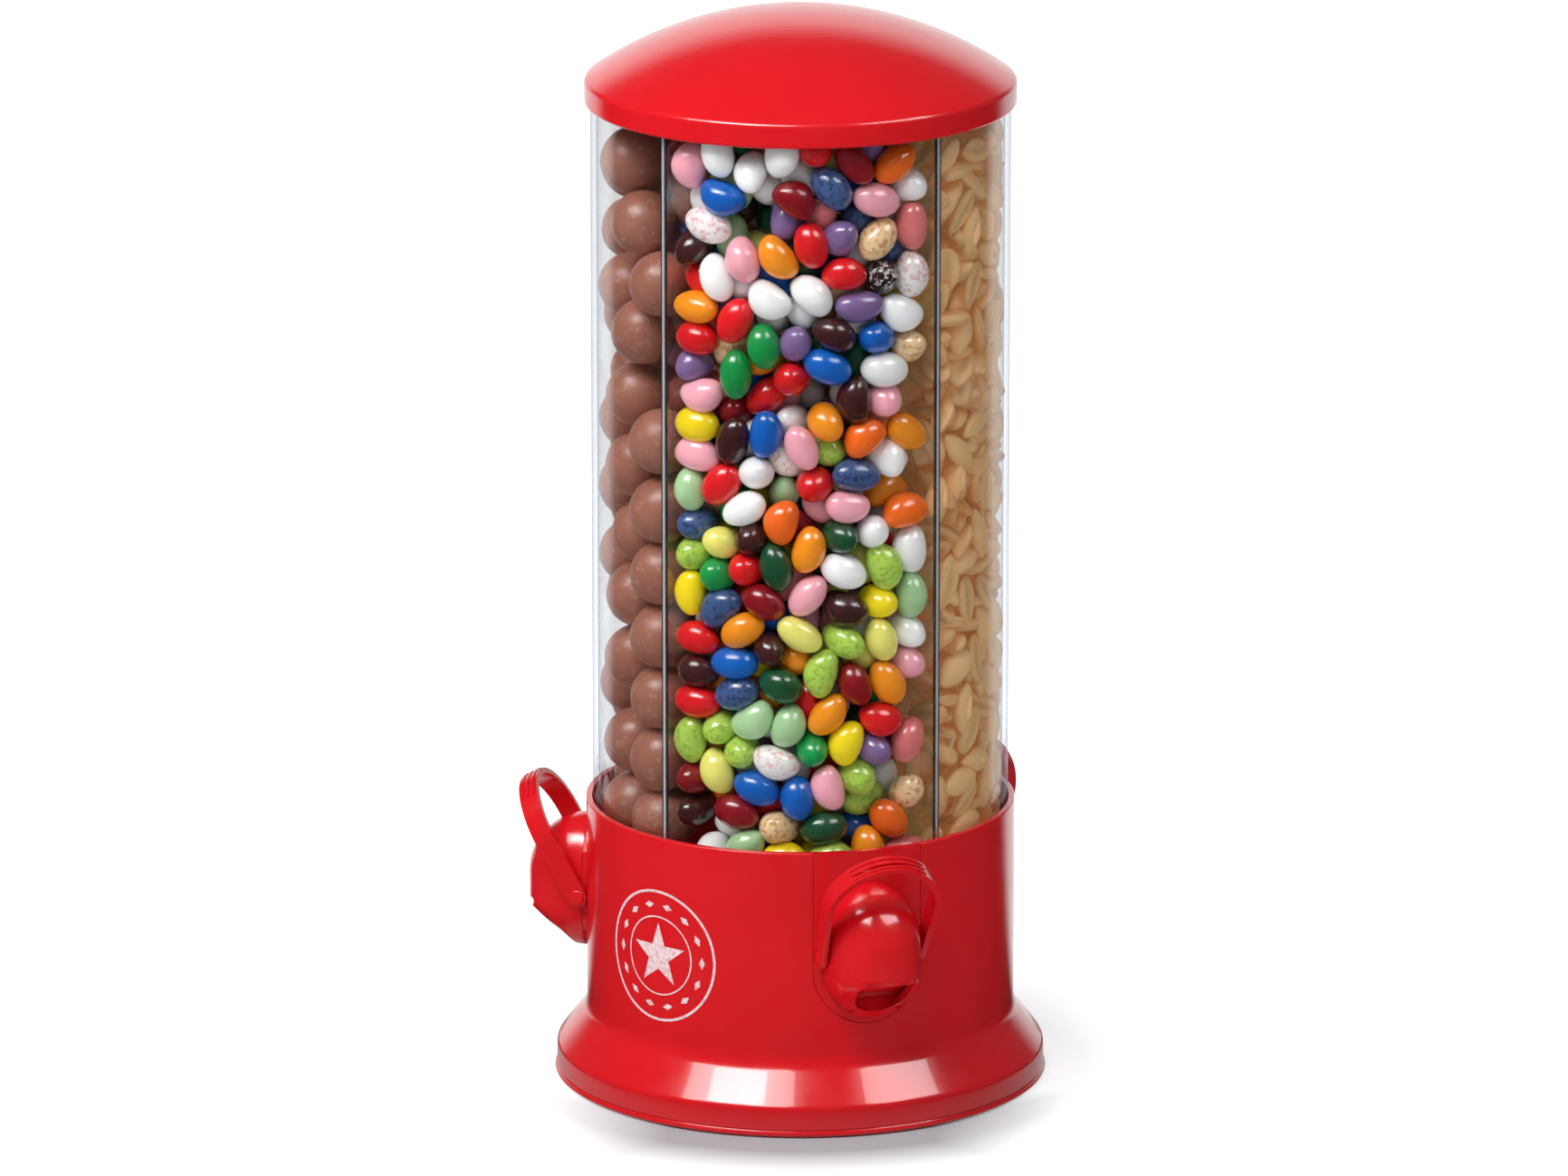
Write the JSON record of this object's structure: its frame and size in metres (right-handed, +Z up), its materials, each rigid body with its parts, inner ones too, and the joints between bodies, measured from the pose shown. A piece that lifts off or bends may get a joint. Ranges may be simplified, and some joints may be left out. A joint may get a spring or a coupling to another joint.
{
  "type": "candy dispenser",
  "caption": "Candy dispenser: a clear divided tube on a flared base, with sprung finger levers that open the spouts and a lift-off domed lid.",
  "frame": {"origin": "on the tube's axis at the underside of the foot pad", "axes": "+Z up along the tube's axis, -Y towards the front compartment, +X to the right seen from the front"},
  "size_m": [0.1809, 0.1791, 0.3713],
  "materials": {
    "red_plastic": "gloss",
    "clear_plastic": "clear gloss",
    "steel": "satin",
    "foot_rubber": "matte",
    "white_print": "satin print",
    "malt_chocolate": "soft sheen",
    "jelly_sweet": "gloss",
    "peanut": "satin"
  },
  "bodies": {
    "root": {"clear_tube": "clear_plastic", "divider": "clear_plastic", "hopper": "red_plastic", "base_shell": "red_plastic", "bottom_plate": "red_plastic", "foot_pad": "foot_rubber", "base_screws": "steel", "spout_front": "red_plastic", "spout_left": "red_plastic", "spout_rear": "red_plastic"},
    "lid": {"lid": "red_plastic"},
    "lever_front": {"lever_front": "red_plastic", "gate_front": "red_plastic", "pivot_pins_front": "steel", "return_spring_front": "steel"},
    "lever_left": {"lever_left": "red_plastic", "gate_left": "red_plastic", "pivot_pins_left": "steel", "return_spring_left": "steel"},
    "lever_rear": {"lever_rear": "red_plastic", "gate_rear": "red_plastic", "pivot_pins_rear": "steel", "return_spring_rear": "steel"}
  },
  "joints": [
    {"name": "lid_lift", "type": "slide", "parent": "root", "child": "lid", "axis": [0, 0, 1], "range_m": [0, 0.06]},
    {"name": "lever_front_pull", "type": "hinge", "parent": "root", "child": "lever_front", "pos_m": [0.02352, -0.07069, 0.0608], "axis": [0.9489, 0.3156, 0], "range_deg": [0, 50], "stiffness_Nm_per_rad": 0.02, "springref_deg": -28.65},
    {"name": "lever_left_pull", "type": "hinge", "parent": "root", "child": "lever_left", "pos_m": [-0.07298, 0.01498, 0.0608], "axis": [-0.2011, -0.9796, 0], "range_deg": [0, 50], "stiffness_Nm_per_rad": 0.02, "springref_deg": -28.65},
    {"name": "lever_rear_pull", "type": "hinge", "parent": "root", "child": "lever_rear", "pos_m": [0.04946, 0.05571, 0.0608], "axis": [-0.7478, 0.6639, 0], "range_deg": [0, 50], "stiffness_Nm_per_rad": 0.02, "springref_deg": -28.65}
  ]
}
